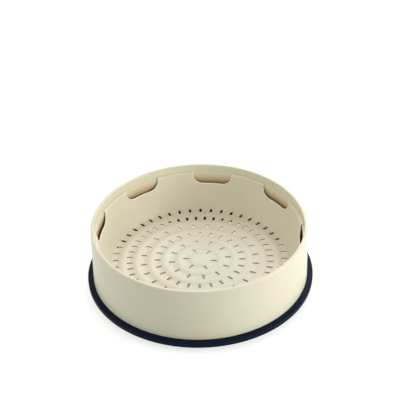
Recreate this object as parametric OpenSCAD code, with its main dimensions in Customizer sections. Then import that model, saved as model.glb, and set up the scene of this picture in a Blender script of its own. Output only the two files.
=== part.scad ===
// Round steamer insert for a stove-top pot: a coated shell, a perforated basket that
// hangs in it by its notched lip, and a soft seal round the shell's foot.
// Millimetres, +Z up. The origin is the centre of the face that stands on the table.

/* [Seal] */
// Height of the skirt that drops inside a pot
skirt_h = 7.2; // [5:0.1:12]
// Thickness of the skirt
skirt_t = 2.8; // [2.4:0.1:3.4]
// How far the flange stands out past the shell's foot
flange_out = 7; // [5:0.1:10]
// Height of the flange at its outer edge
flange_h = 6.7; // [5:0.1:9]
// How much the flange's outer face draws in towards its underside
flange_lean = 0.3; // [0.1:0.1:1]
// Radius of the flange's outer corners
flange_round = 1.5; // [0.8:0.1:2.2]
// Thickness of the web under the shell
web_t = 1.9; // [1.4:0.1:3]
// Height of the groove that grips the shell
grip_h = 5.6; // [4:0.1:8]
// Thickness of the lip inside the shell
inner_grip_t = 3.8; // [1.5:0.1:5]
// Gap between the shell and each side of the groove
grip_gap = 0.1; // [0.05:0.05:0.3]

/* [Shell] */
// Outer radius of the shell at its foot
foot_r = 129.4; // [127:0.1:134]
// How much the outer radius shrinks from foot to rim
shell_draft = 0.8; // [0.4:0.1:2.4]
// Thickness of the wall at the rim and at the foot
shell_wall = 3.8; // [3.2:0.1:5]
// Height of the shell
shell_h = 73.9; // [66:0.1:100]
// Depth from the top of the rim to the ledge
ledge_depth = 10.8; // [9:0.1:18]
// Width of the ledge that carries the basket
ledge_w = 2; // [1.4:0.1:2.6]
// Chamfer of the foot
foot_chamfer = 0.6; // [0.3:0.1:1.2]

/* [Basket] */
// Thickness of the sheet
sheet_t = 1.4; // [1:0.1:1.6]
// Gap between the lip and the shell, and between the bend under the lip and the ledge
basket_gap = 0.3; // [0.2:0.05:0.5]
// Depth from the top of the lip to the perforated floor
basket_depth = 45.3; // [36:0.1:50]
// Radius of the bend under the lip
lip_bend = 0.2; // [0.2:0.1:0.5]
// How far the wall leans in on its way down from the lip
wall_lean = 10.9; // [8:0.1:14]
// Width of the slope round the floor
slope_w = 3.9; // [2.5:0.1:6]
// Height of the slope round the floor
slope_h = 7.1; // [5:0.1:10]
// How far the wall bows out of its straight line
wall_bow = 1.5; // [0.5:0.1:2]
// Radius of the bend between the floor and the slope
slope_bend = 1.6; // [1:0.1:3]

/* [Floor] */
// Width of the flat valley that a ring of slots lies in
valley_w = 7.8; // [7.6:0.1:9]
// Height of the ridges between the valleys
ridge_h = 0.9; // [0.5:0.1:2.4]
// Length of a slot
slot_l = 6.9; // [4:0.1:7.2]
// Width of a slot
slot_w = 2.6; // [1:0.1:2.8]

/* [Notches] */
// Number of notches in the lip
notch_count = 8; // [4:1:10]
// Width of a notch at the top of the lip
notch_top_w = 49.5; // [48:0.5:56]
// Width of a notch at its floor, before its corners are rounded
notch_floor_w = 46.5; // [40:0.5:47.5]
// Depth of a notch below the top of the lip
notch_depth = 14.2; // [13:0.1:18]
// Radius of a notch's lower corners
notch_corner = 12.5; // [6:0.5:12.5]

/* [Hidden] */

// Slots in each ring, and how far the ring is turned as a share of its own spacing
slot_counts = [6, 12, 24, 24, 48, 48];
turn_share = [0, 0.5, 0.5, 0, 0.5, 0];

// Steps of a round corner, of one ridge and of the wall
corner_steps = 4;
ridge_steps = 8;
wall_steps = 6;
round_fn = 96;

// How far a cut runs past the face that it starts from
overrun = 1;

// Levels, from the table up
groove_z = skirt_h + web_t;
grip_z = groove_z + grip_h;
rim_z = groove_z + shell_h;
ledge_z = rim_z - ledge_depth;
lip_z = ledge_z + sheet_t;
floor_z = lip_z - basket_depth;

// Radii of the shell
rim_outer_r = foot_r - shell_draft;
rim_outer_round = shell_wall * 0.35;
rim_inner_round = shell_wall * 0.2;
shell_inner_r = rim_outer_r - shell_wall;
ledge_r = shell_inner_r - ledge_w;
foot_inner_r = foot_r - shell_wall;

// Radii of the seal: its groove clears the foot and the narrowest place that its inner lip grips
groove_outer_r = foot_r + grip_gap;
gripped_inner_r = foot_inner_r - (foot_inner_r - ledge_r) * grip_h / (ledge_z - groove_z);
groove_inner_r = gripped_inner_r - grip_gap;
seal_inner_r = groove_inner_r - inner_grip_t;
skirt_r = seal_inner_r + skirt_t;
flange_r = foot_r + flange_out;
skirt_round = skirt_t / 5;
grip_round = inner_grip_t / 10;

// Radii of the basket, and the two ends of its wall
lip_r = shell_inner_r - basket_gap;
lip_round = lip_bend + sheet_t;
wall_top = [ledge_r - basket_gap - lip_round, lip_z - lip_round];
wall_foot = [wall_top[0] - wall_lean, floor_z + slope_h];
valley_end_r = wall_foot[0] - slope_w;

// The rings of slots share the floor out evenly
ring_pitch = (valley_end_r - valley_w / 2) / len(slot_counts);
ridge_w = ring_pitch - valley_w;

// Points of a round corner at b, on the way from a to c
function unit(v) = v / norm(v);
function corner_arc(a, b, c, r) =
    let (
        back = unit(a - b),
        on = unit(c - b),
        half = acos(back * on) / 2,
        centre = b + unit(back + on) * r / sin(half),
        spoke = b + back * r / tan(half) - centre,
        side = sign(back[1] * on[0] - back[0] * on[1])
    )
    [for (i = [0 : corner_steps])
        let (turn = side * (180 - 2 * half) * i / corner_steps)
        centre + [
            spoke[0] * cos(turn) - spoke[1] * sin(turn),
            spoke[0] * sin(turn) + spoke[1] * cos(turn)
        ]];

// A closed outline of [x, y, corner radius] places, with its corners rounded
function flat(place) = [place[0], place[1]];
function rounded(places) =
    let (n = len(places))
    [for (i = [0 : n - 1])
        let (here = places[i], before = places[(i + n - 1) % n], after = places[(i + 1) % n])
        each here[2] > 0
            ? corner_arc(flat(before), flat(here), flat(after), here[2])
            : [flat(here)]];

// The outline of a sheet whose upper side is the given path
function left_of(v) = [-v[1], v[0]];
function under(path, i) =
    let (
        k = max(i, 1),
        m = min(i, len(path) - 2),
        before = left_of(unit(path[k] - path[k - 1])),
        after = left_of(unit(path[m + 1] - path[m])),
        normal = unit(before + after)
    )
    path[i] - normal * sheet_t / (normal * after);
function sheet_outline(path) =
    concat(path, [for (i = [len(path) - 1 : -1 : 0]) under(path, i)]);

// One ridge from its start at from_r, or the part of it between two shares of its width
function ridge(from_r, low_share = 0, high_share = 1) =
    [for (i = [low_share * ridge_steps : high_share * ridge_steps])
        [from_r + ridge_w * i / ridge_steps,
         floor_z + ridge_h * (1 - cos(360 * i / ridge_steps)) / 2]];

// The basket's upper side, from the centre of its floor out to the edge of its lip
function basket_path() =
    let (
        chord = wall_top - wall_foot,
        outward = -left_of(unit(chord))
    )
    concat(
        [[0, floor_z + ridge_h]],
        ridge(ring_pitch - valley_w / 2 - ridge_w, low_share = 0.5),
        [for (ring = [1 : len(slot_counts) - 1]) each ridge(ring * ring_pitch + valley_w / 2)],
        corner_arc([0, floor_z], [valley_end_r, floor_z], wall_foot, slope_bend),
        [for (i = [0 : wall_steps])
            let (share = i / wall_steps)
            wall_foot + chord * share + outward * wall_bow * 4 * share * (1 - share)],
        [for (i = [1 : corner_steps])
            let (turn = 90 * i / corner_steps)
            wall_top + lip_round * [1 - cos(turn), sin(turn)]],
        [[lip_r, lip_z]]
    );

// A slot along X with round ends
function slot_outline() =
    let (cap = slot_w / 2)
    [for (end = [0, 1], i = [0 : corner_steps])
        let (turn = 180 * (end + i / corner_steps) - 90)
        [(1 - 2 * end) * (slot_l / 2 - cap) + cap * cos(turn), cap * sin(turn)]];

module base_seal() {
    color([0.08, 0.11, 0.19])
    rotate_extrude($fn = round_fn)
    polygon(rounded([
        [seal_inner_r, 0, skirt_round],
        [skirt_r, 0, skirt_round],
        [skirt_r, skirt_h, grip_round],
        [flange_r - flange_lean, skirt_h, flange_round],
        [flange_r, skirt_h + flange_h, flange_round],
        [groove_outer_r, grip_z, grip_round],
        [groove_outer_r, groove_z, 0],
        [groove_inner_r, groove_z, 0],
        [groove_inner_r, grip_z, grip_round],
        [seal_inner_r, grip_z, grip_round]
    ]));
}

module outer_shell() {
    color([0.86, 0.84, 0.75])
    rotate_extrude($fn = round_fn)
    polygon(rounded([
        [foot_inner_r + foot_chamfer, groove_z, 0],
        [foot_r - foot_chamfer, groove_z, 0],
        [foot_r, groove_z + foot_chamfer, 0],
        [rim_outer_r, rim_z, rim_outer_round],
        [shell_inner_r, rim_z, rim_inner_round],
        [shell_inner_r, ledge_z, 0],
        [ledge_r, ledge_z, 0],
        [foot_inner_r, groove_z + foot_chamfer, 0]
    ]));
}

module slots() {
    for (ring = [1 : len(slot_counts)], i = [1 : slot_counts[ring - 1]])
    rotate([0, 0, 360 / slot_counts[ring - 1] * (i + turn_share[ring - 1])])
    translate([ring * ring_pitch, 0, floor_z - sheet_t - overrun])
    linear_extrude(sheet_t + 2 * overrun)
    polygon(slot_outline());
}

module notches() {
    side_slope = (notch_top_w - notch_floor_w) / 2 / notch_depth;
    mouth_w = notch_top_w + 2 * side_slope * overrun;
    for (i = [1 : notch_count])
    rotate([0, 0, 360 / notch_count * i])
    translate([wall_foot[0], 0, lip_z])
    rotate([90, 0, 90])
    linear_extrude(lip_r - wall_foot[0] + overrun)
    polygon(rounded([
        [-mouth_w / 2, overrun, 0],
        [-notch_floor_w / 2, -notch_depth, notch_corner],
        [notch_floor_w / 2, -notch_depth, notch_corner],
        [mouth_w / 2, overrun, 0]
    ]));
}

module steamer_basket() {
    color([0.88, 0.86, 0.78])
    difference() {
        rotate_extrude($fn = round_fn) polygon(sheet_outline(basket_path()));
        slots();
        notches();
    }
}

base_seal();
outer_shell();
steamer_basket();
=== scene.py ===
from math import acos, asin, cos, hypot, pi, radians, sin, tan

import bmesh
import bpy
import numpy as np
from mathutils import Matrix, Vector
from mathutils.geometry import delaunay_2d_cdt


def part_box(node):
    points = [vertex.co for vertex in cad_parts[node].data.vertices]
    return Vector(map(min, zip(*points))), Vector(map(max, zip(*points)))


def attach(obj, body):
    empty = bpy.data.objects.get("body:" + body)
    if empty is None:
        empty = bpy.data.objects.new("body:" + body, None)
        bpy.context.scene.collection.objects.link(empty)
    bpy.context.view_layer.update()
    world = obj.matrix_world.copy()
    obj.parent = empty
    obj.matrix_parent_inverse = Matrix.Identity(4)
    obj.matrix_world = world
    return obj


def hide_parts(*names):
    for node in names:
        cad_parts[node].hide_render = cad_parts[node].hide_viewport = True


# A round steamer insert: a coated shell ring, a perforated basket that hangs in it
# by its notched lip, and a soft seal round the shell's foot. The object's lengths are
# in millimetres until a mesh is written. Camera, lamps and table are in metres.
MM = 0.001

# Seal
SKIRT_H = 7.2
SKIRT_T = 2.8
SKIRT_ROUND = SKIRT_T / 5
FLANGE_H = 6.7
FLANGE_LEAN = 0.3
FLANGE_ROUND = 1.5
GRIP_H = 5.6
INNER_GRIP_T = 3.8
GRIP_GAP = 0.1
MOULD_EDGE_R = 0.35

# Shell. Inside, below the ledge, its wall has painted shade, darker and browner downwards over a
# reach.
SHELL_WALL = 3.8
SHELL_DRAFT = 0.8
LEDGE_DEPTH = 10.8
LEDGE_W = 2.0
FOOT_CHAMFER = 0.6
RIM_OUTER_ROUND = SHELL_WALL * 0.35
RIM_INNER_ROUND = SHELL_WALL * 0.2
LEDGE_EDGE_R = 0.8
FOOT_EDGE_R = 0.25
GAP_WALL_SHADE_REACH = 19.0

# Basket
SHEET_T = 1.4
BASKET_GAP = 0.3
BASKET_DEPTH = 45.3
LIP_BEND = 0.2
WALL_LEAN = 10.9
SLOPE_W = 3.9
SLOPE_H = 7.1
WALL_BOW = 1.5
SLOPE_BEND = 1.6

# Floor: a ring of slots lies in each valley, with a ridge that fades out beside it
VALLEY_W = 7.8
RIDGE_H = 0.85
RIDGE_SPREAD = 16.0
SLOT_L = 7.1
SLOT_W = 2.8
SLOT_COUNTS = (6, 12, 24, 24, 48, 48)
SLOT_TURN_SHARES = (0, 0.5, 0.5, 0, 0.5, 0)

# Notches in the lip
NOTCH_COUNT = 8
NOTCH_TOP_W = 49.5
NOTCH_FLOOR_W = 46.5
NOTCH_DEPTH = 14.2
NOTCH_CORNER = 12.5
NOTCH_LEAN = (NOTCH_TOP_W - NOTCH_FLOOR_W) / 2 / NOTCH_DEPTH

# The basket's cut edges: their rounding, the strip beside them that has their paler coating,
# which is a painted highlight, and the corners between notch and lip. The coating also narrows
# the gap to the shell.
SHEET_EDGE_R = 0.3
EDGE_LAP = 0.4
SLOT_EDGE_R = 0.25
LIP_CORNER_R = 0.81
LIP_CORNER_ROOM = 0.9
COAT_T = 0.1

# Fineness of the meshes
SEGMENTS = 384
CORNER_STEPS = 6
RIDGE_STEPS = 7
VALLEY_STEPS = 5
SLOT_STEPS = 9
WALL_STEPS = 18
EDGE_STEPS = 3
NOTCH_SIDE_STEPS = 7

# Room that the points and rows of a patch keep from its cut edges
SLOT_ROW_ROOM = 0.05
SLOT_POINT_ROOM = 0.4
LIP_ROW_ROOM = 0.15
LIP_POINT_ROOM = 0.45
NOTCH_ROW_ROOM = 1.0

# Meshing: the share of a slot's half width that counts as in the slot, the rounding of a
# triangulation, the distance in metres at which points merge, and the weight of large faces
IN_SLOT_SHARE = 0.98
TRIANGLE_ROUNDING = 1e-5
MERGE_DISTANCE = 2e-6
EVEN_SHADING_WEIGHT = 90

# Numbers of the basket's materials on its faces: plain, slot walls with painted shade, and cut
# edges with a painted highlight
PLAIN_COAT, SLOT_SHADE_COAT, EDGE_HIGHLIGHT_COAT = range(3)

# Camera, fitted to the photograph's 400 pixels
VIEW_AZIMUTH = radians(8.7)
VIEW_ELEVATION = radians(35.2035)
VIEW_ROLL = radians(1.501)
VIEW_DISTANCE = 1.53661
VIEW_RIGHT, VIEW_UP = 0.00002, -0.07219
VIEW_TARGET_Z = 0.0283
FOCAL_PX, FRAME_PX, SENSOR_MM = 1270.96, 400, 36.0

# Colours, in linear light
WHITE = (1, 1, 1, 1)
TABLE_GREY = (0.5, 0.5, 0.5, 1)
CREAM = (0.69, 0.66, 0.52, 1)
CREAM_DEEP = (0.665, 0.63, 0.485, 1)
# Painted highlight: the cut edges and the strip beside them are paler, as the light they catch
CREAM_EDGE_PAINTED_HIGHLIGHT = (0.93, 0.90, 0.78, 1)
# Painted shade: the slots' cut walls are darker, standing in for the shade inside the narrow slots
CREAM_SLOT_PAINTED_SHADE = (0.42, 0.39, 0.29, 1)
# Painted shade on the shell's wall behind the basket: browner and darker with depth below the ledge
GAP_WALL_SHADE = (0.73, 0.63, 0.43, 1)
GAP_WALL_DEEP_SHADE = (0.44, 0.28, 0.15, 1)
NAVY = (0.0035, 0.0065, 0.0205, 1)
NAVY_DUSTY = (0.0060, 0.0105, 0.0275, 1)

# Lowest and highest roughness of each finish, and its gloss
SHELL_ROUGHNESS = (0.38, 0.47)
BASKET_ROUGHNESS = (0.42, 0.51)
SLOT_ROUGHNESS = (0.46, 0.55)
CUT_ROUGHNESS = (0.34, 0.43)
GAP_WALL_ROUGHNESS = (0.6, 0.7)
SILICONE_ROUGHNESS = (0.44, 0.56)
SILICONE_SPECULAR = 0.06
GLOSS_WEIGHT, GLOSS_ROUGHNESS = 0.18, 0.32

# Patterns, as a noise's scale and detail, and the range that a noise usually stays in
CLOUDS = (22, 3)
GRAIN = (900, 2)
PEEL = (420, 1)
SWELL = (60, 1)
DUST = (35, 4)
TOOTH = (1400, 2)
WAVES = (150, 1)
NOISE_RANGE = (0.3, 0.7)

# Bumps, as a strength and a depth in metres
SWELL_BUMP = (0.25, 0.0004)
PEEL_BUMP = (0.3, 0.00012)
GRAIN_BUMP = (0.25, 0.00004)
DULL_BUMP = (0.3, 0.00005)
WAVE_BUMP = (0.2, 0.0002)
TOOTH_BUMP = (0.3, 0.00004)

# Table, in metres, with the glow that it has where it is seen. Under the insert the glow is painted
# light: warm, it grows from near to far, and painted shadow ends it at a radius and at a distance
# to the back. In the open it starts outside that radius.
TABLE_HALF = 4.0
OPEN_GLOW = 0.68
UNDER_PAINTED_LIGHT = (0.34, 0.8)
UNDER_PAINTED_LIGHT_TINT = (1, 0.93, 0.8, 1)
UNDER_REACH = (-0.02, 0.075)
UNDER_PAINTED_SHADOW_BACK = (0.1165, 0.1185)
UNDER_PAINTED_SHADOW_R = (0.1212, 0.1216)
OPEN_R_START = (0.1216, 0.126)

# World, and lamps in metres
WORLD_LIGHT = 0.75
WORLD_COLOUR = (1, 1, 0.93, 1)
LAMP_DISTANCE = 1.7
LAMP_AIM_Z = 0.05
LAMP_SIZE = 0.9
BACK_LIGHT = (0.96, 0.93, 1)

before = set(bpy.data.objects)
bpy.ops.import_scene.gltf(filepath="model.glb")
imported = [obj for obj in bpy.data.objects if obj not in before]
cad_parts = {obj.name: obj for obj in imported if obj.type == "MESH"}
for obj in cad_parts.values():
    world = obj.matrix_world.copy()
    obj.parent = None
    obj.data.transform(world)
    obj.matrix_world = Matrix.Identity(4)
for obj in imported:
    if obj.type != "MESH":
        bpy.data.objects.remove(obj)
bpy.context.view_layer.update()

# Radii and heights of the seal and the shell, from the frame
FLANGE_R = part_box("base_seal")[1].x / MM
GROOVE_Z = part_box("outer_shell")[0].z / MM
RIM_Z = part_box("outer_shell")[1].z / MM
FOOT_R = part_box("outer_shell")[1].x / MM
RIM_R = FOOT_R - SHELL_DRAFT
SHELL_INNER_R = RIM_R - SHELL_WALL
LEDGE_R = SHELL_INNER_R - LEDGE_W
LEDGE_Z = RIM_Z - LEDGE_DEPTH
FOOT_INNER_R = FOOT_R - SHELL_WALL

# Radii and heights of the basket, and the two ends of its wall
LIP_R = SHELL_INNER_R - BASKET_GAP + COAT_T
LIP_Z = LEDGE_Z + SHEET_T
FLOOR_Z = LIP_Z - BASKET_DEPTH
LIP_ROUND = LIP_BEND + SHEET_T
WALL_TOP = (LEDGE_R - BASKET_GAP - LIP_ROUND, LIP_Z - LIP_ROUND)
WALL_FOOT = (WALL_TOP[0] - WALL_LEAN, FLOOR_Z + SLOPE_H)
VALLEY_END_R = WALL_FOOT[0] - SLOPE_W
RING_PITCH = (VALLEY_END_R - VALLEY_W / 2) / len(SLOT_COUNTS)
HALF_PITCH = pi / NOTCH_COUNT * LIP_R


def unit(v):
    """The direction of a flat vector, with a length of 1."""
    n = hypot(v[0], v[1])
    return (v[0] / n, v[1] / n)


def corner_arc(a, b, c, radius, steps=CORNER_STEPS):
    """Points of a round corner at b, on the way from a to c."""
    back, on = unit((a[0] - b[0], a[1] - b[1])), unit((c[0] - b[0], c[1] - b[1]))
    half = acos(max(-1, min(1, back[0] * on[0] + back[1] * on[1]))) / 2
    mid = unit((back[0] + on[0], back[1] + on[1]))
    centre = (b[0] + mid[0] * radius / sin(half), b[1] + mid[1] * radius / sin(half))
    spoke = (b[0] + back[0] * radius / tan(half) - centre[0],
             b[1] + back[1] * radius / tan(half) - centre[1])
    side = 1 if back[1] * on[0] - back[0] * on[1] > 0 else -1
    turns = [side * (pi - 2 * half) * i / steps for i in range(steps + 1)]
    return [(centre[0] + spoke[0] * cos(t) - spoke[1] * sin(t),
             centre[1] + spoke[0] * sin(t) + spoke[1] * cos(t)) for t in turns]


def rounded(places):
    """A closed outline of (r, z, corner radius) places, with its corners rounded."""
    points = []
    for i, here in enumerate(places):
        before, after = places[i - 1], places[(i + 1) % len(places)]
        points += corner_arc(before, here, after, here[2]) if here[2] else [here[:2]]
    return points


def turned(outline):
    """Points and faces of a closed outline of (r, z) turned about the axis."""
    n = len(outline)
    points = [(r * cos(2 * pi * k / SEGMENTS), r * sin(2 * pi * k / SEGMENTS), z)
              for k in range(SEGMENTS) for r, z in outline]
    faces = [(k * n + i, k * n + (i + 1) % n,
              (k + 1) % SEGMENTS * n + (i + 1) % n, (k + 1) % SEGMENTS * n + i)
             for k in range(SEGMENTS) for i in range(n)]
    return points, faces


def finish_piece(name, points, faces, body, node, materials, coats):
    """Makes a smooth object of points in millimetres, in place of one CAD node.

    coats holds the number of each face's material.
    """
    mesh = bpy.data.meshes.new(name)
    mesh.from_pydata([tuple(c * MM for c in p) for p in points], [], faces)
    for material in materials:
        mesh.materials.append(material)
    mesh.polygons.foreach_set("material_index", coats)
    work = bmesh.new()
    work.from_mesh(mesh)
    bmesh.ops.remove_doubles(work, verts=work.verts, dist=MERGE_DISTANCE)
    bmesh.ops.recalc_face_normals(work, faces=work.faces)
    work.to_mesh(mesh)
    work.free()
    mesh.polygons.foreach_set("use_smooth", [True] * len(mesh.polygons))
    piece = bpy.data.objects.new(name, mesh)
    bpy.context.scene.collection.objects.link(piece)
    even = piece.modifiers.new("even_shading", "WEIGHTED_NORMAL")
    even.weight = EVEN_SHADING_WEIGHT
    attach(piece, body)
    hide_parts(node)


def make_seal(material):
    """The seal: a skirt, a flange and a groove for the shell's foot."""
    groove_outer_r = FOOT_R + GRIP_GAP
    taper = (FOOT_INNER_R - LEDGE_R) * GRIP_H / (LEDGE_Z - GROOVE_Z)
    groove_inner_r = FOOT_INNER_R - taper - GRIP_GAP
    grip_z = GROOVE_Z + GRIP_H
    inner_r = groove_inner_r - INNER_GRIP_T
    skirt_r = inner_r + SKIRT_T
    outline = rounded([
        (inner_r, 0, SKIRT_ROUND),
        (skirt_r, 0, SKIRT_ROUND),
        (skirt_r, SKIRT_H, MOULD_EDGE_R),
        (FLANGE_R - FLANGE_LEAN, SKIRT_H, FLANGE_ROUND),
        (FLANGE_R, SKIRT_H + FLANGE_H, FLANGE_ROUND),
        (groove_outer_r, grip_z, MOULD_EDGE_R),
        (groove_outer_r, GROOVE_Z, 0),
        (groove_inner_r, GROOVE_Z, 0),
        (groove_inner_r, grip_z, MOULD_EDGE_R),
        (inner_r, grip_z, MOULD_EDGE_R),
    ])
    points, faces = turned(outline)
    finish_piece("seal_ring", points, faces, "seal", "base_seal",
                 [material], [0] * len(faces))


def make_shell(material, gap_shade_material):
    """The shell. Its wall below the ledge, which the basket hides, has its own material, with
    painted shade.
    """
    outline = rounded([
        (FOOT_INNER_R + FOOT_CHAMFER, GROOVE_Z, FOOT_EDGE_R),
        (FOOT_R - FOOT_CHAMFER, GROOVE_Z, FOOT_EDGE_R),
        (FOOT_R, GROOVE_Z + FOOT_CHAMFER, FOOT_EDGE_R),
        (RIM_R, RIM_Z, RIM_OUTER_ROUND),
        (SHELL_INNER_R, RIM_Z, RIM_INNER_ROUND),
        (SHELL_INNER_R, LEDGE_Z, FOOT_EDGE_R),
        (LEDGE_R, LEDGE_Z, LEDGE_EDGE_R),
        (FOOT_INNER_R, GROOVE_Z + FOOT_CHAMFER, FOOT_EDGE_R),
    ])
    points, faces = turned(outline)
    # The segment of the outline that runs from the ledge down to the foot
    hidden = len(outline) - CORNER_STEPS - 2
    # That segment gets the material with painted shade
    coats = [int(i == hidden) for _ in range(SEGMENTS) for i in range(len(outline))]
    finish_piece("shell_ring", points, faces, "shell", "outer_shell",
                 [material, gap_shade_material], coats)


def relief(radius):
    """How far the floor rises, at distances from the axis.

    A ridge lies midway between two rings of slots, and the floor's middle is as high.
    """
    ridge = np.minimum(np.floor(radius / RING_PITCH), len(SLOT_COUNTS) - 1)
    off = np.abs(radius - (ridge + 0.5) * RING_PITCH)
    off[radius < RING_PITCH / 2] = 0
    return RIDGE_H * (1 + np.cos(2 * pi * np.minimum(off / RIDGE_SPREAD, 0.5))) / 2


def basket_path():
    """The basket's upper side, from the centre of its floor out to the edge of its lip."""
    bend = corner_arc((0, FLOOR_Z), (VALLEY_END_R, FLOOR_Z), WALL_FOOT, SLOPE_BEND)
    radii, start = [0, RING_PITCH / 4], RING_PITCH / 2
    for ring in range(1, len(SLOT_COUNTS) + 1):
        low = ring * RING_PITCH - VALLEY_W / 2
        high = min(low + VALLEY_W, bend[0][0])
        radii += list(np.linspace(start, low, RIDGE_STEPS, endpoint=False))
        radii += list(np.linspace(low, high, VALLEY_STEPS, endpoint=False))
        start = high
    radii = np.array(radii)
    path = list(zip(radii, FLOOR_Z + relief(radii))) + bend
    chord = (WALL_TOP[0] - WALL_FOOT[0], WALL_TOP[1] - WALL_FOOT[1])
    out = unit((chord[1], -chord[0]))
    for i in range(WALL_STEPS + 1):
        share = i / WALL_STEPS
        bow = WALL_BOW * 4 * share * (1 - share)
        path.append((WALL_FOOT[0] + chord[0] * share + out[0] * bow,
                     WALL_FOOT[1] + chord[1] * share + out[1] * bow))
    for i in range(1, CORNER_STEPS + 1):
        turn = pi / 2 * i / CORNER_STEPS
        path.append((WALL_TOP[0] + LIP_ROUND * (1 - cos(turn)),
                     WALL_TOP[1] + LIP_ROUND * sin(turn)))
    path.append((LIP_R, LIP_Z))
    return np.array(path)


def follow(path):
    """How far along a path each of its points is, and the path's normal there."""
    steps = np.hypot(*np.diff(path, axis=0).T)
    heading = np.diff(path, axis=0) / steps[:, None]
    mean = np.vstack([heading[:1], heading[:-1] + heading[1:], heading[-1:]])
    mean /= np.hypot(*mean.T)[:, None]
    return np.concatenate([[0], np.cumsum(steps)]), np.column_stack([-mean[:, 1], mean[:, 0]])


# The basket's path, and the numbers of its points at the wall's foot and past its top
PATH = basket_path()
ALONG, NORMALS = follow(PATH)
WALL_START = len(PATH) - CORNER_STEPS - WALL_STEPS - 2
WALL_END = len(PATH) - CORNER_STEPS - 1


def on_sheet(along, turn, depth):
    """Points at distances along the basket's path and turns about the axis.

    They lie at a depth below its upper side.
    """
    r, z = (np.interp(along, ALONG, PATH[:, i]) - depth * np.interp(along, ALONG, NORMALS[:, i])
            for i in (0, 1))
    return np.column_stack([r * np.cos(turn), r * np.sin(turn), z])


def on_floor(places, depth):
    """The same for places on the upper side, given by their x and y."""
    along = np.interp(np.hypot(*places.T), PATH[:, 0], ALONG)
    return on_sheet(along, np.arctan2(places[:, 1], places[:, 0]), depth)


class Skin:
    """Collects the points of one piece, its faces and the material number of each face."""

    def __init__(self):
        self.points, self.faces, self.coats = [], [], []

    def add(self, points, faces, flip=False, coat=PLAIN_COAT):
        """One patch, with its faces turned over where flip says so."""
        start = len(self.points)
        self.points += [tuple(p) for p in points]
        self.faces += [tuple(start + i for i in (reversed(f) if flip else f)) for f in faces]
        self.coats += [coat] * len(faces)

    def add_both_sides(self, along, turn, faces):
        """The upper and the lower side of one patch of the sheet."""
        self.add(on_sheet(along, turn, 0), faces)
        self.add(on_sheet(along, turn, SHEET_T), faces, flip=True)

    def add_band(self, loops, closed, coat):
        """Quads between loops that have as many points each."""
        n = len(loops[0])
        points = [p for loop in loops for p in loop]
        last = n if closed else n - 1
        faces = [(k * n + i, k * n + (i + 1) % n, (k + 1) * n + (i + 1) % n, (k + 1) * n + i)
                 for k in range(len(loops) - 1) for i in range(last)]
        self.add(points, faces, coat=coat)


def edge_profile(radius, lap=0):
    """A cut edge with both its corners rounded, and with a flat lap beside them if it has one.

    Its places are (distance from the cut into the sheet, depth below the upper side).
    """
    turns = [pi / 2 * i / EDGE_STEPS for i in range(EDGE_STEPS + 1)]
    upper = [(radius * (1 - sin(t)), radius * (1 - cos(t))) for t in turns]
    if lap:
        upper.insert(0, (radius + lap, 0))
    return upper + [(e, SHEET_T - d) for e, d in reversed(upper)]


def triangulate(points, loops, keep):
    """Triangles between closed loops of point numbers. keep says which centres are in the sheet."""
    edges = [(loop[i - 1], loop[i]) for loop in loops for i in range(len(loop))]
    vectors = [Vector(p) for p in points]
    found, _, faces, *_ = delaunay_2d_cdt(vectors, edges, [], 0, TRIANGLE_ROUNDING)
    found, faces = np.array([tuple(p) for p in found]), np.array(faces)
    return found, faces[keep(found[faces].mean(axis=1))]


def slot_outline(grow):
    """A slot along X about the origin, grown by a distance."""
    cap, reach = SLOT_W / 2 + grow, (SLOT_L - SLOT_W) / 2
    turns = [(end, pi * (end + i / SLOT_STEPS) - pi / 2)
             for end in (0, 1) for i in range(SLOT_STEPS + 1)]
    return np.array([((1 - 2 * end) * reach + cap * cos(t), cap * sin(t)) for end, t in turns])


def slot_turns(ring):
    """The turns about the axis at which one ring's slots lie."""
    count, share = SLOT_COUNTS[ring - 1], SLOT_TURN_SHARES[ring - 1]
    return [2 * pi / count * (i + share) for i in range(count)]


def placed(outline, radius, turn):
    """An outline moved out along X and then turned about the axis."""
    x, y = outline[:, 0] + radius, outline[:, 1]
    return np.column_stack([x * cos(turn) - y * sin(turn), x * sin(turn) + y * cos(turn)])


def in_valley(places, ring, low, high, room=0):
    """Which places lie between two radii and outside one ring's slots, with room round these."""
    r = np.hypot(*places.T)
    kept = (r > low * cos(pi / SEGMENTS)) & (r < high)
    for t in slot_turns(ring):
        u = places[:, 0] * cos(t) + places[:, 1] * sin(t) - ring * RING_PITCH
        v = places[:, 1] * cos(t) - places[:, 0] * sin(t)
        reach = np.maximum(np.abs(u) - (SLOT_L - SLOT_W) / 2, 0)
        kept &= np.hypot(reach, v) > (SLOT_W / 2 + SLOT_EDGE_R) * IN_SLOT_SHARE + room
    return kept


def add_valley(skin, ring, first, last):
    """The ring of the floor between two of the path's points, with its slots."""
    middle = ring * RING_PITCH
    low, high = PATH[first, 0], PATH[last, 0]
    turns = [2 * pi * k / SEGMENTS for k in range(SEGMENTS)]
    circles = [[(r * cos(t), r * sin(t)) for t in turns] for r in (low, high)]
    holes = [placed(slot_outline(SLOT_EDGE_R), middle, t) for t in slot_turns(ring)]
    points, loops = [], []
    for loop in circles + holes:
        loops.append(list(range(len(points), len(points) + len(loop))))
        points += [tuple(p) for p in loop]
    inner = np.array([(r * cos(t), r * sin(t))
                      for r in PATH[first + 1:last, 0] for t in turns[::2]])
    points += [tuple(p) for p in inner[in_valley(inner, ring, low, high, SLOT_POINT_ROOM)]]
    found, faces = triangulate(points, loops,
                               lambda centres: in_valley(centres, ring, low, high))
    for depth, flip in ((0, False), (SHEET_T, True)):
        skin.add(on_floor(found, depth), faces, flip)
    # The slots' cut walls, in the material with painted shade
    for turn in slot_turns(ring):
        skin.add_band([on_floor(placed(slot_outline(grow), middle, turn), depth)
                       for grow, depth in edge_profile(SLOT_EDGE_R)], True, SLOT_SHADE_COAT)


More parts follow.
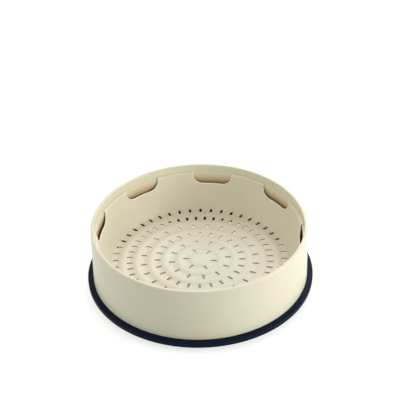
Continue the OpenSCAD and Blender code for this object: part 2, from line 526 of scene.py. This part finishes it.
def add_rows(skin, first, last):
    """Faces round the whole sheet between two of its path's points, a fan where it starts."""
    turn = np.arange(SEGMENTS) * 2 * pi / SEGMENTS
    for k in range(first, last):
        along = np.repeat([ALONG[k], ALONG[k + 1]], SEGMENTS)
        if k == 0:
            faces = [(0, SEGMENTS + i, SEGMENTS + (i + 1) % SEGMENTS) for i in range(SEGMENTS)]
        else:
            faces = [(i, SEGMENTS + i, SEGMENTS + (i + 1) % SEGMENTS, (i + 1) % SEGMENTS)
                     for i in range(SEGMENTS)]
        skin.add_both_sides(along, np.tile(turn, 2), faces)


def notch_half_outline():
    """One side of a notch, from the middle of its floor up to the bend under the lip.

    Its places are (half width, height).
    """
    floor = LIP_Z - NOTCH_DEPTH
    corner = corner_arc((0, floor), (NOTCH_FLOOR_W / 2, floor), (NOTCH_TOP_W / 2, LIP_Z),
                        NOTCH_CORNER, 2 * CORNER_STEPS)
    flat = [(corner[0][0] * i / CORNER_STEPS, floor) for i in range(CORNER_STEPS)]
    heights = np.linspace(corner[-1][1], WALL_TOP[1], NOTCH_SIDE_STEPS + 1)
    side = [(NOTCH_FLOOR_W / 2 + NOTCH_LEAN * (z - floor), z) for z in heights[1:]]
    return flat + corner + side


def lip_outline():
    """The cut edge of one notch and of the lip on both sides of it.

    Its places are (turn about the axis times LIP_R, distance along the path).
    """
    wall = slice(WALL_START, WALL_END)
    half = []
    for width, height in notch_half_outline():
        along = np.interp(height, PATH[wall, 1], ALONG[wall])
        half.append((LIP_R * asin(width / np.interp(along, ALONG, PATH[:, 0])), along))
    for k in range(WALL_END, len(PATH)):
        width = NOTCH_FLOOR_W / 2 + NOTCH_LEAN * (PATH[k, 1] - LIP_Z + NOTCH_DEPTH)
        half.append((LIP_R * asin(width / PATH[k, 0]), ALONG[k]))
    step = 2 * pi / SEGMENTS * LIP_R
    steps = int((HALF_PITCH - half[-1][0] - LIP_CORNER_ROOM) / step)
    lip = [(HALF_PITCH - step * i, ALONG[-1]) for i in range(steps, -1, -1)]
    corner = corner_arc(half[-2], half[-1], lip[0], LIP_CORNER_R)
    half = half[:-2] + corner + lip
    return np.array([(-x, y) for x, y in reversed(half)] + half[1:])


def inside(polygon, points):
    """Which points lie inside a polygon."""
    result = np.zeros(len(points), bool)
    for a, b in zip(polygon, np.roll(polygon, -1, axis=0)):
        if a[1] != b[1]:
            crosses = (a[1] > points[:, 1]) != (b[1] > points[:, 1])
            x = a[0] + (points[:, 1] - a[1]) * (b[0] - a[0]) / (b[1] - a[1])
            result ^= crosses & (points[:, 0] < x)
    return result


def distance_to(polyline, points):
    """How far points are from a polyline."""
    nearest = np.full(len(points), np.inf)
    for a, b in zip(polyline[:-1], polyline[1:]):
        d = b - a
        share = np.clip(((points - a) @ d) / (d @ d), 0, 1)
        nearest = np.minimum(nearest, np.hypot(*(points - a - share[:, None] * d).T))
    return nearest


def lip_patch(cut, first):
    """Points and triangles of the sheet between one of the path's rows and a line of cut."""
    columns = np.linspace(-HALF_PITCH, HALF_PITCH, SEGMENTS // NOTCH_COUNT + 1)
    end = ALONG[-1] - SHEET_EDGE_R - EDGE_LAP - LIP_ROW_ROOM
    rows = [a for a in ALONG[first + 1:] if a < end]
    floor = [(x, ALONG[first]) for x in columns]
    right, left = [(HALF_PITCH, a) for a in rows], [(-HALF_PITCH, a) for a in reversed(rows)]
    border = np.array(floor + right + [tuple(p) for p in cut[::-1]] + left)
    grid = np.array([(x, a) for a in rows for x in columns[1:-1]])
    grid = grid[inside(border, grid)]
    grid = grid[distance_to(cut, grid) > LIP_POINT_ROOM]
    points = [tuple(p) for p in border] + [tuple(p) for p in grid]
    return triangulate(points, [list(range(len(border)))],
                       lambda centres: inside(border, centres))


def add_lip(skin, first):
    """The wall from one of the path's rows up, and the lip, with the notches cut out of both."""
    cut = lip_outline()
    heading = np.gradient(cut, axis=0)
    heading /= np.hypot(*heading.T)[:, None]
    outward = np.column_stack([-heading[:, 1], heading[:, 0]])
    outward[[0, -1]] = (0, 1)
    found, faces = lip_patch(cut - outward * (SHEET_EDGE_R + EDGE_LAP), first)
    edge = [(cut - outward * e, depth) for e, depth in edge_profile(SHEET_EDGE_R, EDGE_LAP)]
    for k in range(NOTCH_COUNT):
        start = 2 * pi / NOTCH_COUNT * k
        skin.add_both_sides(found[:, 1], found[:, 0] / LIP_R + start, faces)
        # The cut edge and its strip, in the material with a painted highlight
        skin.add_band([on_sheet(line[:, 1], line[:, 0] / LIP_R + start, depth)
                       for line, depth in edge], False, EDGE_HIGHLIGHT_COAT)


def make_basket(materials):
    """The basket. Its materials are in the order of the numbers on its faces."""
    skin = Skin()
    row = 0
    reach = SLOT_L / 2 + SLOT_EDGE_R + SLOT_ROW_ROOM
    for ring in range(1, len(SLOT_COUNTS) + 1):
        first = int(np.searchsorted(PATH[:, 0], ring * RING_PITCH - reach)) - 1
        last = int(np.searchsorted(PATH[:, 0], ring * RING_PITCH + reach))
        add_rows(skin, row, first)
        add_valley(skin, ring, first, last)
        row = last
    under_notches = LIP_Z - NOTCH_DEPTH - NOTCH_ROW_ROOM
    lip_row = max(k for k in range(WALL_START, len(PATH)) if PATH[k, 1] < under_notches)
    add_rows(skin, row, lip_row)
    add_lip(skin, lip_row)
    finish_piece("basket_tray", skin.points, skin.faces, "basket", "steamer_basket",
                 materials, skin.coats)


def new_material(name):
    """A material, its nodes and links, its shader, and the object's own coordinates."""
    material = bpy.data.materials.new(name)
    material.use_nodes = True
    nodes, links = material.node_tree.nodes, material.node_tree.links
    place = nodes.new("ShaderNodeTexCoord").outputs["Object"]
    return material, nodes, links, nodes["Principled BSDF"], place


def noise(nodes, links, place, scale, detail):
    """A noise pattern."""
    node = nodes.new("ShaderNodeTexNoise")
    node.inputs["Scale"].default_value = scale
    node.inputs["Detail"].default_value = detail
    links.new(place, node.inputs["Vector"])
    return node.outputs["Fac"]


def ranged(nodes, links, value, start, end, low, high, interpolation="SMOOTHSTEP"):
    """A number that goes from low to high as another one goes from start to end."""
    node = nodes.new("ShaderNodeMapRange")
    node.interpolation_type = interpolation
    sockets = ("From Min", "From Max", "To Min", "To Max")
    for socket, number in zip(sockets, (start, end, low, high)):
        node.inputs[socket].default_value = number
    links.new(value, node.inputs["Value"])
    return node.outputs["Result"]


def spread(nodes, links, value, low, high):
    """A number from low to high as a noise goes from its usual lowest to its usual highest."""
    return ranged(nodes, links, value, *NOISE_RANGE, low, high, "LINEAR")


def calculated(nodes, links, operation, first, second):
    """The result of a math operation on two numbers."""
    node = nodes.new("ShaderNodeMath")
    node.operation = operation
    links.new(first, node.inputs[0])
    links.new(second, node.inputs[1])
    return node.outputs[0]


def blend_colours(nodes, links, share, first, second):
    """A colour between two. They are inputs 6 and 7 of the node, and its output 2."""
    node = nodes.new("ShaderNodeMix")
    node.data_type = "RGBA"
    node.inputs[6].default_value, node.inputs[7].default_value = first, second
    links.new(share, node.inputs[0])
    return node.outputs[2]


def bump(nodes, links, layers):
    """A chain of bumps of (height, strength, depth in metres)."""
    normal = None
    for height, strength, depth in layers:
        node = nodes.new("ShaderNodeBump")
        node.inputs["Strength"].default_value = strength
        node.inputs["Distance"].default_value = depth
        links.new(height, node.inputs["Height"])
        if normal is not None:
            links.new(normal, node.inputs["Normal"])
        normal = node.outputs["Normal"]
    return normal


def ceramic_coating(name, colour, deep, roughness):
    """Sprayed satin ceramic on metal: a soft orange peel, faint clouds and a thin clear gloss."""
    material, nodes, links, shader, place = new_material(name)
    clouds = spread(nodes, links, noise(nodes, links, place, *CLOUDS), 0, 1)
    links.new(blend_colours(nodes, links, clouds, colour, deep), shader.inputs["Base Color"])
    grain = noise(nodes, links, place, *GRAIN)
    links.new(spread(nodes, links, grain, *roughness), shader.inputs["Roughness"])
    shader.inputs["Coat Weight"].default_value = GLOSS_WEIGHT
    shader.inputs["Coat Roughness"].default_value = GLOSS_ROUGHNESS
    peel = noise(nodes, links, place, *PEEL)
    swell = noise(nodes, links, place, *SWELL)
    layers = [(swell, *SWELL_BUMP), (peel, *PEEL_BUMP), (grain, *GRAIN_BUMP)]
    links.new(bump(nodes, links, layers), shader.inputs["Normal"])
    return material


def shade_painted_coating(name, colour, deep):
    """Painted shade on the shell's wall behind the basket: dull, browner and darker downwards from
    the ledge, and lighter again towards the foot.
    """
    material, nodes, links, shader, place = new_material(name)
    split = nodes.new("ShaderNodeSeparateXYZ")
    links.new(place, split.inputs[0])
    height = split.outputs["Z"]
    # Painted shade: deepest between a reach below the ledge and the basket floor's height
    down = ranged(nodes, links, height, (LEDGE_Z - GAP_WALL_SHADE_REACH) * MM, LEDGE_Z * MM, 1, 0)
    up = ranged(nodes, links, height, (FLOOR_Z - SHEET_T) * MM, (FLOOR_Z + SLOPE_H) * MM, 0, 1)
    share = calculated(nodes, links, "MULTIPLY", down, up)
    links.new(blend_colours(nodes, links, share, colour, deep), shader.inputs["Base Color"])
    grain = noise(nodes, links, place, *GRAIN)
    links.new(spread(nodes, links, grain, *GAP_WALL_ROUGHNESS), shader.inputs["Roughness"])
    links.new(bump(nodes, links, [(grain, *DULL_BUMP)]), shader.inputs["Normal"])
    return material


def silicone(name, colour, dusty):
    """Matt moulded silicone: fine tooth, and a little paler where dust clings."""
    material, nodes, links, shader, place = new_material(name)
    dust = spread(nodes, links, noise(nodes, links, place, *DUST), 0, 1)
    links.new(blend_colours(nodes, links, dust, colour, dusty), shader.inputs["Base Color"])
    tooth = noise(nodes, links, place, *TOOTH)
    links.new(spread(nodes, links, tooth, *SILICONE_ROUGHNESS), shader.inputs["Roughness"])
    shader.inputs["Specular IOR Level"].default_value = SILICONE_SPECULAR
    layers = [(noise(nodes, links, place, *WAVES), *WAVE_BUMP), (tooth, *TOOTH_BUMP)]
    links.new(bump(nodes, links, layers), shader.inputs["Normal"])
    return material


def view_axes():
    """The camera's right, up and ahead, and the level right and away that it was turned from."""
    turn = Matrix.Rotation(VIEW_AZIMUTH, 3, "Z")
    right, away = turn @ Vector((1, 0, 0)), turn @ Vector((0, 1, 0))
    up = away * sin(VIEW_ELEVATION) + Vector((0, 0, cos(VIEW_ELEVATION)))
    ahead = away * cos(VIEW_ELEVATION) - Vector((0, 0, sin(VIEW_ELEVATION)))
    return (right * cos(VIEW_ROLL) - up * sin(VIEW_ROLL),
            right * sin(VIEW_ROLL) + up * cos(VIEW_ROLL), ahead, right, away)


def make_camera():
    """The camera, at the photograph's angle and distance."""
    right, up, ahead, _, _ = view_axes()
    data = bpy.data.cameras.new("photo_view")
    data.sensor_width = SENSOR_MM
    data.lens = FOCAL_PX / FRAME_PX * SENSOR_MM
    camera = bpy.data.objects.new("photo_view", data)
    bpy.context.scene.collection.objects.link(camera)
    target = Vector((0, 0, VIEW_TARGET_Z))
    place = target - right * VIEW_RIGHT - up * VIEW_UP - ahead * VIEW_DISTANCE
    turn = Matrix((right, up, -ahead)).transposed().to_4x4()
    camera.matrix_world = Matrix.Translation(place) @ turn
    bpy.context.scene.camera = camera


def add_softbox(name, round_deg, up_deg, power, colour=(1, 1, 1)):
    """A square lamp aimed at the object.

    It stands round_deg anticlockwise from the viewer, seen from above, and up_deg above level.
    """
    _, _, _, right, away = view_axes()
    data = bpy.data.lights.new(name, "AREA")
    data.size, data.energy, data.color = LAMP_SIZE, power, colour
    lamp = bpy.data.objects.new(name, data)
    bpy.context.scene.collection.objects.link(lamp)
    level = right * sin(radians(round_deg)) - away * cos(radians(round_deg))
    out = level * cos(radians(up_deg)) + Vector((0, 0, sin(radians(up_deg))))
    lamp.location = Vector((0, 0, LAMP_AIM_Z)) + out * LAMP_DISTANCE
    lamp.rotation_euler = (-out).to_track_quat("-Z", "Y").to_euler()


def seen_directly(nodes, links):
    """1 for camera, glossy and transmission rays, and 0 for the rays that light the object."""
    path = nodes.new("ShaderNodeLightPath")
    total = path.outputs["Is Camera Ray"]
    for name in ("Is Glossy Ray", "Is Transmission Ray"):
        total = calculated(nodes, links, "MAXIMUM", total, path.outputs[name])
    return total


def make_world():
    """Even light, a little warm where it lights the object, and pure white where it is seen."""
    world = bpy.data.worlds.new("studio")
    bpy.context.scene.world = world
    world.use_nodes = True
    nodes, links = world.node_tree.nodes, world.node_tree.links
    out, lighting = nodes["World Output"], nodes["Background"]
    lighting.inputs["Color"].default_value = WORLD_COLOUR
    lighting.inputs["Strength"].default_value = WORLD_LIGHT
    backdrop, choice = nodes.new("ShaderNodeBackground"), nodes.new("ShaderNodeMixShader")
    backdrop.inputs["Color"].default_value = WHITE
    links.new(seen_directly(nodes, links), choice.inputs[0])
    links.new(lighting.outputs[0], choice.inputs[1])
    links.new(backdrop.outputs[0], choice.inputs[2])
    links.new(choice.outputs[0], out.inputs["Surface"])


def floor_glow(nodes, links):
    """How bright the table looks by itself: painted light and painted shadow under the insert, and
    an even white in the open.
    """
    split = nodes.new("ShaderNodeSeparateXYZ")
    place = nodes.new("ShaderNodeTexCoord").outputs["Object"]
    links.new(place, split.inputs[0])
    reach = nodes.new("ShaderNodeVectorMath")
    reach.operation = "LENGTH"
    links.new(place, reach.inputs[0])
    radius = reach.outputs["Value"]
    # Under the insert: painted light growing from near to far, cut off by painted shadow near the
    # seal and at the back
    under = ranged(nodes, links, split.outputs["Y"], *UNDER_REACH, *UNDER_PAINTED_LIGHT)
    for end in (ranged(nodes, links, radius, *UNDER_PAINTED_SHADOW_R, 1, 0),
                ranged(nodes, links, split.outputs["Y"], *UNDER_PAINTED_SHADOW_BACK, 1, 0)):
        under = calculated(nodes, links, "MULTIPLY", under, end)
    return under, ranged(nodes, links, radius, *OPEN_R_START, 0, OPEN_GLOW)


def table_material():
    """Grey for the light that falls on it, with a glow that is only seen and lights nothing.

    The open table glows in reflections too. Under the insert the glow is painted light and shadow,
    for the camera alone.
    """
    material = bpy.data.materials.new("table_white")
    material.use_nodes = True
    nodes, links = material.node_tree.nodes, material.node_tree.links
    nodes.clear()
    out, diffuse = nodes.new("ShaderNodeOutputMaterial"), nodes.new("ShaderNodeBsdfDiffuse")
    diffuse.inputs["Color"].default_value = TABLE_GREY
    glows = floor_glow(nodes, links)
    camera_ray = nodes.new("ShaderNodeLightPath").outputs["Is Camera Ray"]
    seen_by = (camera_ray, seen_directly(nodes, links))
    surface = diffuse.outputs[0]
    for colour, strength, seen in zip((UNDER_PAINTED_LIGHT_TINT, WHITE), glows, seen_by):
        kinds = ("ShaderNodeEmission", "ShaderNodeAddShader", "ShaderNodeMixShader")
        glow, both, choice = (nodes.new(kind) for kind in kinds)
        glow.inputs["Color"].default_value = colour
        links.new(strength, glow.inputs["Strength"])
        links.new(surface, both.inputs[0])
        links.new(glow.outputs[0], both.inputs[1])
        links.new(seen, choice.inputs[0])
        links.new(surface, choice.inputs[1])
        links.new(both.outputs[0], choice.inputs[2])
        surface = choice.outputs[0]
    links.new(surface, out.inputs["Surface"])
    return material


def make_floor(material):
    """The table. Its Y axis points away from the viewer, along which the painted light under the
    insert changes.
    """
    mesh = bpy.data.meshes.new("table")
    corners = [(x * TABLE_HALF, y * TABLE_HALF, 0) for x, y in ((-1, -1), (1, -1), (1, 1), (-1, 1))]
    mesh.from_pydata(corners, [], [(0, 1, 2, 3)])
    mesh.materials.append(material)
    floor = bpy.data.objects.new("table", mesh)
    floor.rotation_euler.z = VIEW_AZIMUTH
    bpy.context.scene.collection.objects.link(floor)


make_camera()
make_world()
make_floor(table_material())
add_softbox("low_right", round_deg=69, up_deg=8, power=22.6)
add_softbox("high_back", round_deg=168, up_deg=39, power=11.2, colour=BACK_LIGHT)
add_softbox("low_left", round_deg=270, up_deg=8, power=5)
bpy.context.scene.view_settings.view_transform = "Standard"

make_seal(silicone("navy_silicone", NAVY, NAVY_DUSTY))
# The shell's wall behind the basket has painted shade
painted_gap_shade = shade_painted_coating("painted_gap_shade", GAP_WALL_SHADE, GAP_WALL_DEEP_SHADE)
make_shell(ceramic_coating("cream_shell", CREAM, CREAM_DEEP, SHELL_ROUGHNESS), painted_gap_shade)
make_basket([
    ceramic_coating("cream_basket", CREAM, CREAM_DEEP, BASKET_ROUGHNESS),
    # The slot walls, with painted shade
    ceramic_coating("cream_slot_painted_shade", CREAM_SLOT_PAINTED_SHADE, CREAM_SLOT_PAINTED_SHADE, SLOT_ROUGHNESS),
    # The cut edges, with a painted highlight
    ceramic_coating("cream_edge_painted_highlight", CREAM_EDGE_PAINTED_HIGHLIGHT, CREAM_EDGE_PAINTED_HIGHLIGHT, CUT_ROUGHNESS),
])
